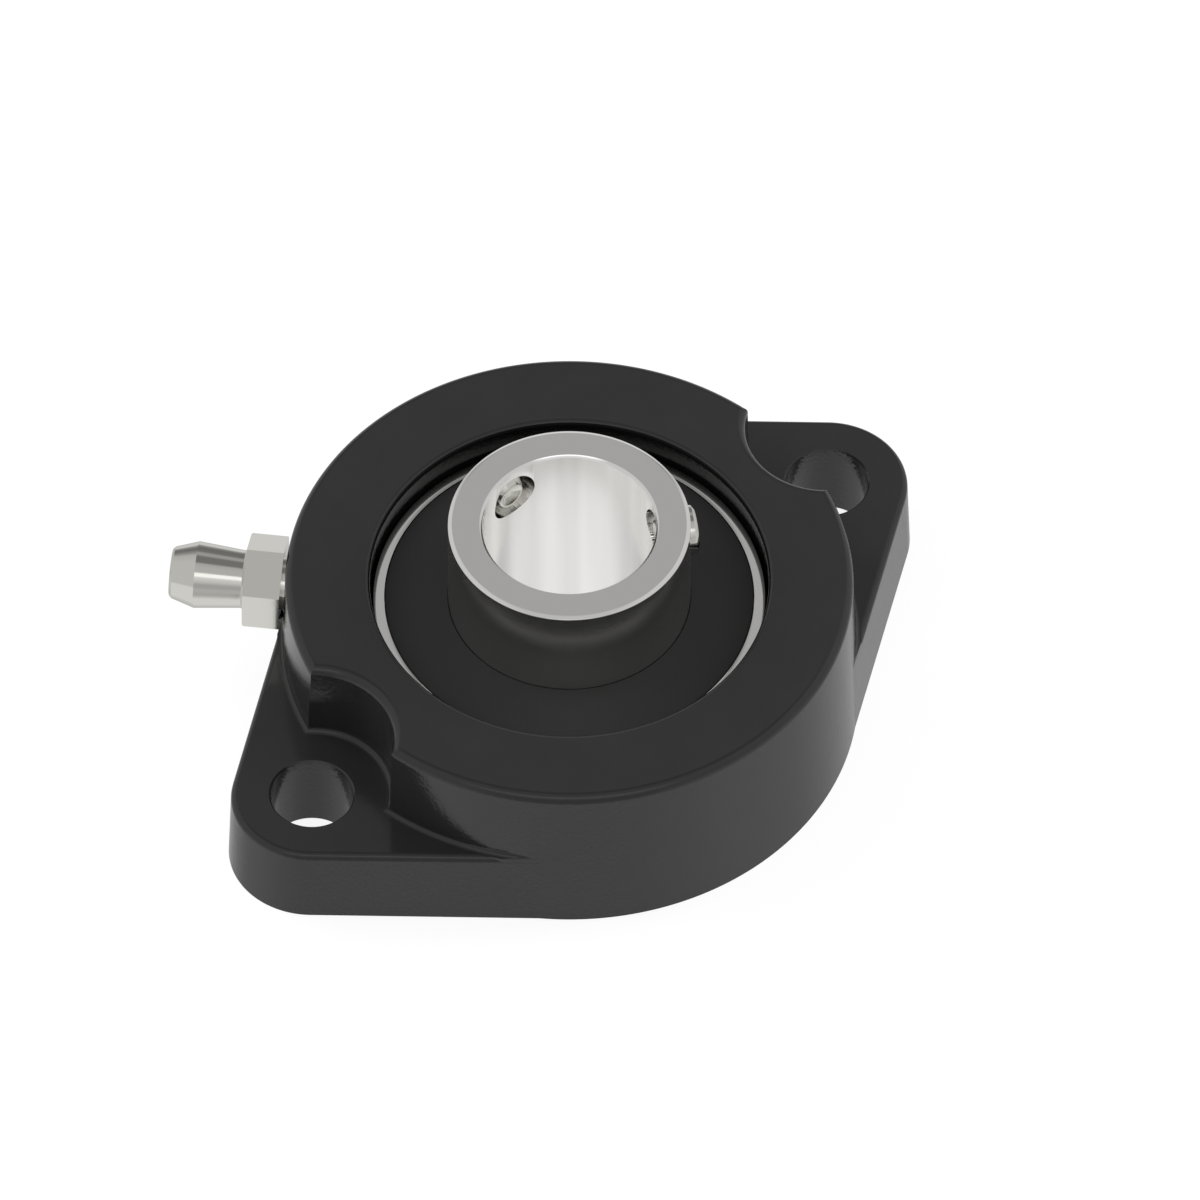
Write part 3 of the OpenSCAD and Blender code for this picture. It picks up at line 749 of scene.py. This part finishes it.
class BEARING_OT_seals(bpy.types.Operator):
    """Models the rubber of both seals, with a soft crown and a lip on the inner ring"""

    bl_idname = "bearing_unit.make_seals"
    bl_label = "Seals"

    def execute(self, context):
        settings = context.scene.bearing_unit
        sizes = settings.insert
        rubber = moulded_rubber(linear(settings.finish.rubber))
        sheet = plain_steel("pressed_steel", linear(settings.finish.sheet_steel),
                            roughness=0.35, grain=0.6)
        seat_z = sizes.seal_seat + SEAL_GAP
        lip_r = sizes.inner_r + SEAL_GAP
        crown = sizes.half_w + sizes.seal_crown
        edge = 0.1 * MM
        plate_in, plate_out = sizes.inner_r + PLATE_IN, sizes.seal_r - PLATE_OUT
        plate_low = sizes.seal_seat + PLATE_LOW
        plate_high = plate_low + PLATE_T
        lip_root = plate_in - 0.3 * MM
        outline = [
            (plate_out, seat_z), (sizes.seal_r, seat_z),
            (sizes.seal_r, sizes.half_w - edge), (sizes.seal_r - edge, sizes.half_w),
            (lip_r + 0.12 * MM, crown), (lip_r + 0.03 * MM, crown - 0.01 * MM),
            (lip_r, crown - 0.08 * MM), (lip_r + 0.15 * MM, sizes.half_w - 0.3 * MM),
            (lip_root, plate_high - 0.2 * MM), (lip_root, plate_low),
            (plate_in, plate_low), (plate_in, plate_high), (plate_out, plate_high)]
        for name, side in (("front", 1), ("rear", -1)):
            section = [(r, SEAT_HEIGHT + side * z) for r, z in outline]
            piece = turn(name + "_seal_rubber", section, steps=256)
            smooth(piece, 30)
            finish_piece(piece, rubber, "outer_ring", "seal_rubber", name + "_seal_lip")
            finish_node(name + "_seal_plate", sheet)
        return {"FINISHED"}


class BEARING_OT_rolling_set(bpy.types.Operator):
    """Finishes the balls, the pressed cage and its rivets"""

    bl_idname = "bearing_unit.finish_rolling_set"
    bl_label = "Balls and cage"

    def execute(self, context):
        colours = context.scene.bearing_unit.finish
        lapped = plain_steel("lapped_steel", linear(colours.ground_steel),
                             roughness=0.08, grain=0.5)
        pressed = plain_steel("pressed_cage_steel", linear(colours.sheet_steel),
                              roughness=0.4, grain=0.8)
        for ball in BALLS:
            finish_node(ball, lapped)
        for node in ("cage_front", "cage_rear", "cage_rivets"):
            finish_node(node, pressed)
        return {"FINISHED"}


class BEARING_OT_set_screws(bpy.types.Operator):
    """Models the two set screws, with their sockets and cup points"""

    bl_idname = "bearing_unit.make_set_screws"
    bl_label = "Set screws"

    def execute(self, context):
        settings = context.scene.bearing_unit
        sizes = settings.screws
        tip = settings.insert.bore_r + sizes.hole_gap
        rim_w, end_edge = 0.2 * MM, 0.3 * MM
        for node, joint in SCREW_JOINTS.items():
            low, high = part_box(node)
            direction = -Vector(JOINTS[joint]["axis"])
            piece = turn(node + "_turned", [
                (0, sizes.cup_depth), (sizes.cup_r - rim_w, 0), (sizes.cup_r, 0),
                (sizes.radius, sizes.cone), (sizes.radius, sizes.span - end_edge),
                (sizes.radius - end_edge, sizes.span), (0, sizes.span)], steps=96)
            socket = rod("socket", sizes.socket_af / 2 / math.cos(math.radians(30)),
                         sizes.span - sizes.socket_depth, sizes.span + PAST, sides=6)
            combine(piece, socket, "DIFFERENCE")
            bevel(piece, width=0.06 * MM, segments=2, angle=25)
            place(piece, outwards(direction, (low.z + high.z) / 2, tip))
            smooth(piece)
            zinc = zinc_plated_steel(linear(settings.finish.zinc), direction)
            finish_piece(piece, zinc, node, "screw_steel", node)
        return {"FINISHED"}


class BEARING_OT_grease_nipple(bpy.types.Operator):
    """Models the grease nipple: thread, hexagon, neck and head with its inlet"""

    bl_idname = "bearing_unit.make_grease_nipple"
    bl_label = "Grease nipple"

    def hexagon(self, sizes):
        """The hexagon, with its corners turned down at the outer end."""
        corner_r = sizes.flats / 2 / math.cos(math.radians(30))
        bar = rod("hexagon", corner_r, 0, sizes.hexagon_t, sides=6)
        top_r = sizes.flats / 2 + 0.45 * MM
        wide = corner_r + PAST
        drop = (wide - top_r) * math.tan(math.radians(30))
        turned = turn("corner_cut", [
            (0, -PAST), (wide, -PAST), (wide, sizes.hexagon_t - drop),
            (top_r, sizes.hexagon_t), (0, sizes.hexagon_t)], steps=96)
        return combine(bar, turned, "INTERSECT")

    def execute(self, context):
        settings = context.scene.bearing_unit
        sizes = settings.nipple
        mount = MOUNTS["grease_nipple"]
        seat_r = math.hypot(mount["pos_m"][0], mount["pos_m"][1]) - sizes.reach
        neck = sizes.hexagon_t + 0.57 * MM
        neck_edge, tip_edge = 0.3 * MM, 0.25 * MM
        root_r = sizes.thread_r - 0.4 * MM
        overlap = 0.01 * MM
        outlet_r, way_r = 0.9 * MM, 1.3 * MM
        way_low, way_high = 0.5 * MM - sizes.thread_l, sizes.reach - 1.7 * MM
        piece = turn("grease_nipple", [
            (outlet_r, -sizes.thread_l), (root_r, -sizes.thread_l),
            (sizes.thread_r, 0.5 * MM - sizes.thread_l), (sizes.thread_r, -0.9 * MM),
            (root_r, -0.5 * MM), (root_r, overlap),
            (sizes.neck_r + neck_edge, sizes.hexagon_t - overlap), (sizes.neck_r, neck - neck_edge),
            (sizes.neck_r, neck), (sizes.head_r, sizes.reach - 2.5 * MM),
            (sizes.tip_r, sizes.reach - tip_edge), (sizes.tip_r - tip_edge, sizes.reach),
            (sizes.inlet_r, sizes.reach), (sizes.inlet_r, sizes.reach - 1 * MM),
            (way_r, way_high), (way_r, way_low), (outlet_r, way_low)], steps=128)
        combine(piece, self.hexagon(sizes), "UNION")
        combine(piece, rod("grease_way", way_r, way_low, way_high, sides=128), "DIFFERENCE")
        bevel(piece, width=0.09 * MM, segments=2, angle=25)
        place(piece, outwards(mount["axis"], mount["pos_m"][2], seat_r))
        smooth(piece, 15)
        colours = settings.finish
        zinc = zinc_plated_steel(linear(colours.zinc), mount["axis"])
        finish_piece(piece, zinc, "housing", "nipple_steel", "nipple_body")
        lapped = plain_steel("valve_ball_steel", linear(colours.ground_steel),
                             roughness=0.08, grain=0.5)
        finish_node("nipple_ball", lapped)
        wire = plain_steel("drawn_wire", linear(colours.wire), roughness=0.3, grain=0.3)
        finish_node("nipple_spring", wire)
        return {"FINISHED"}


class BEARING_OT_stage(bpy.types.Operator):
    """Makes the white floor, the soft lamps and the camera"""

    bl_idname = "bearing_unit.make_stage"
    bl_label = "Stage"

    def seen(self, tree, camera_share):
        """A share for rays from the camera, and 1 for rays from gloss and through glass."""
        path = add(tree, "ShaderNodeLightPath").outputs
        camera = maths(tree, "MULTIPLY", path["Is Camera Ray"], camera_share)
        both = maths(tree, "MAXIMUM", camera, path["Is Glossy Ray"])
        return maths(tree, "MAXIMUM", both, path["Is Transmission Ray"])

    def ramp(self, tree, position, stops):
        """Greys between stops of (position, grey)."""
        greys = add(tree, "ShaderNodeValToRGB", {"Fac": position})
        for stop in stops[1:-1]:
            greys.color_ramp.elements.new(stop[0])
        for element, (at, grey) in zip(greys.color_ramp.elements, stops):
            element.position = at
            element.color = (grey, grey, grey, 1)
        return greys.outputs["Color"]

    def floor(self, base, azimuth):
        """A white floor that keeps a soft shadow and can be looked through from below."""
        clear_selection()
        bpy.ops.mesh.primitive_circle_add(vertices=96, radius=FLOOR_R, fill_type="NGON",
                                          location=(0, 0, -FLOOR_DROP))
        floor = name_new("studio_floor")
        material, tree, _ = new_material("white_floor")
        matt = add(tree, "ShaderNodeBsdfDiffuse", {"Color": base})
        geometry = add(tree, "ShaderNodeNewGeometry").outputs
        heading = dot(tree, geometry["Incoming"], (-math.sin(azimuth), math.cos(azimuth), 0))
        sheen = self.ramp(tree, between(tree, heading, 0.0, 1.0, start=-1.0), FLOOR_LIGHT)
        from_camera = add(tree, "ShaderNodeLightPath").outputs["Is Camera Ray"]
        bright = blend(tree, from_camera, sheen, FLOOR_WHITE)
        glow = add(tree, "ShaderNodeEmission", {"Color": (1, 1, 1, 1), "Strength": bright})
        above = add(tree, "ShaderNodeMixShader", {
            "Fac": self.seen(tree, FLOOR_GLOW),
            1: matt.outputs["BSDF"], 2: glow.outputs["Emission"]})
        clear = add(tree, "ShaderNodeBsdfTransparent")
        sided = add(tree, "ShaderNodeMixShader", {
            "Fac": geometry["Backfacing"], 1: above.outputs["Shader"], 2: clear.outputs["BSDF"]})
        add(tree, "ShaderNodeOutputMaterial", {"Surface": sided.outputs["Shader"]})
        floor.data.materials.append(material)

    def world(self, scene, azimuth):
        """A white studio with grey and white panels overhead for shiny surfaces, and an even
        light on everything matt."""
        world = bpy.data.worlds.new("studio")
        scene.world = world
        world.use_nodes = True
        tree = world.node_tree
        tree.nodes.clear()
        where = add(tree, "ShaderNodeTexCoord").outputs["Generated"]
        up = add(tree, "ShaderNodeSeparateXYZ", {"Vector": where}).outputs["Z"]
        near = dot(tree, where, (math.sin(azimuth), -math.cos(azimuth), 0))
        over = between(tree, maths(tree, "ARCTAN2", up, near), 0.0, 1.0, end=math.pi)
        lit = maths(tree, "MULTIPLY", self.ramp(tree, over, PANELS), PANEL_LIGHT)
        right = dot(tree, where, (math.cos(azimuth), math.sin(azimuth), 0))
        side = between(tree, maths(tree, "ABSOLUTE", right), 0.0, 1.0, start=0.35, end=0.55)
        horizon = between(tree, up, HORIZON_LIGHT, 0.0, start=0.02, end=0.2)
        room = maths(tree, "MAXIMUM", blend(tree, side, lit, SIDE_LIGHT), horizon)
        from_camera = add(tree, "ShaderNodeLightPath").outputs["Is Camera Ray"]
        shown = maths(tree, "MAXIMUM", room, from_camera)
        strength = blend(tree, self.seen(tree, 1.0), MATT_LIGHT, shown)
        light = add(tree, "ShaderNodeBackground", {"Color": (1, 1, 1, 1), "Strength": strength})
        add(tree, "ShaderNodeOutputWorld", {"Surface": light.outputs["Background"]})

    def lamp(self, name, position, size, power):
        """A soft square lamp that points at the unit."""
        clear_selection()
        bpy.ops.object.light_add(type="AREA", location=position)
        lamp = bpy.context.object
        lamp.name = name
        lamp.data.size = size
        lamp.data.energy = power
        lamp.visible_glossy = False
        aim = LAMP_AIM - Vector(position)
        lamp.rotation_mode = "QUATERNION"
        lamp.rotation_quaternion = aim.to_track_quat("-Z", "Y")

    def camera(self, scene, studio):
        """A camera without perspective, at the photograph's angle."""
        clear_selection()
        bpy.ops.object.camera_add()
        camera = bpy.context.object
        camera.name = "camera"
        camera.data.type = "ORTHO"
        camera.data.ortho_scale = studio.view_width
        camera.rotation_euler = (math.radians(90) - studio.elevation, 0, studio.azimuth)
        turned = camera.rotation_euler.to_matrix()
        camera.location = turned @ Vector((studio.framing[0], studio.framing[1], studio.distance))
        scene.camera = camera

    def execute(self, context):
        scene = context.scene
        settings = scene.bearing_unit
        scene.view_settings.view_transform = "Standard"
        self.floor(linear(settings.finish.floor), settings.studio.azimuth)
        self.world(scene, settings.studio.azimuth)
        for lamp in LAMPS:
            self.lamp(*lamp)
        self.camera(scene, settings.studio)
        clear_selection()
        return {"FINISHED"}


PIECES = (BEARING_OT_housing, BEARING_OT_inner_ring, BEARING_OT_outer_ring, BEARING_OT_seals,
          BEARING_OT_rolling_set, BEARING_OT_set_screws, BEARING_OT_grease_nipple)


class BEARING_PT_panel(bpy.types.Panel):
    """Lists the pieces of the bearing unit"""

    bl_idname = "BEARING_PT_panel"
    bl_label = "Bearing unit"
    bl_space_type = "VIEW_3D"
    bl_region_type = "UI"
    bl_category = "Bearing unit"

    def draw(self, context):
        column = self.layout.column()
        for piece in PIECES + (BEARING_OT_stage,):
            column.operator(piece.bl_idname)
        for group in ("housing", "insert", "screws", "nipple", "finish", "studio"):
            box = self.layout.box()
            box.label(text=group.capitalize())
            values = getattr(context.scene.bearing_unit, group)
            for key in values.bl_rna.properties.keys():
                if key not in ("rna_type", "name"):
                    box.prop(values, key)


CLASSES = (HousingSizes, InsertSizes, ScrewSizes, NippleSizes, FinishColours, StudioSizes,
           UnitSettings, *PIECES, BEARING_OT_stage, BEARING_PT_panel)


def register():
    for item in CLASSES:
        bpy.utils.register_class(item)
    bpy.types.Scene.bearing_unit = PointerProperty(type=UnitSettings)


def unregister():
    del bpy.types.Scene.bearing_unit
    for item in reversed(CLASSES):
        bpy.utils.unregister_class(item)


def main():
    """Makes every piece and the stage."""
    register()
    for piece in PIECES + (BEARING_OT_stage,):
        group, name = piece.bl_idname.split(".")
        getattr(getattr(bpy.ops, group), name)()


if __name__ == "__main__":
    main()
